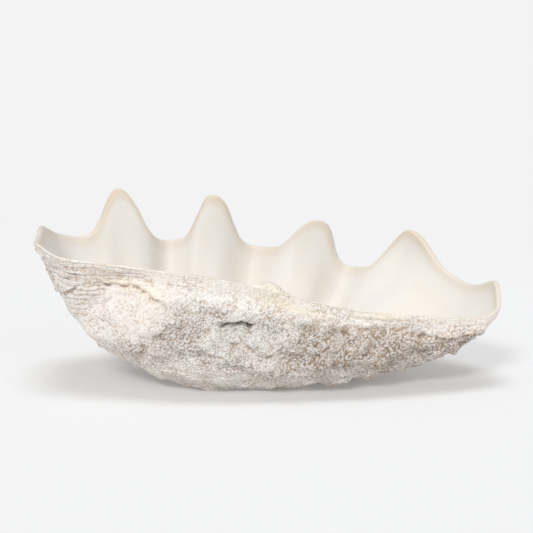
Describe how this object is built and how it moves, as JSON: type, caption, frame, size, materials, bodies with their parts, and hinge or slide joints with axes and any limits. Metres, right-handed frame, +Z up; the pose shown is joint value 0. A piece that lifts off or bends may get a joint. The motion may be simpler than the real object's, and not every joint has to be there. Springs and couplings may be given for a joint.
{
  "type": "giant clam shell",
  "caption": "One valve of a giant clam, a deep thick bowl with a wavy toothed rim, smooth white inside and rough and chalky outside, resting hollow side up.",
  "frame": {"origin": "centre of the valve's box in plan, at the height of the worn flat patch it rests on", "axes": "+X along the length of the hinge line, from the valve's high end to its low end; +Y from the hinge towards the toothed margin; +Z up, out of the hollow"},
  "size_m": [0.6902, 0.4324, 0.2649],
  "materials": {
    "shell": "matt and chalky outside, smooth porcelain-like inside"
  },
  "bodies": {
    "root": {"shell": "shell"}
  },
  "joints": []
}
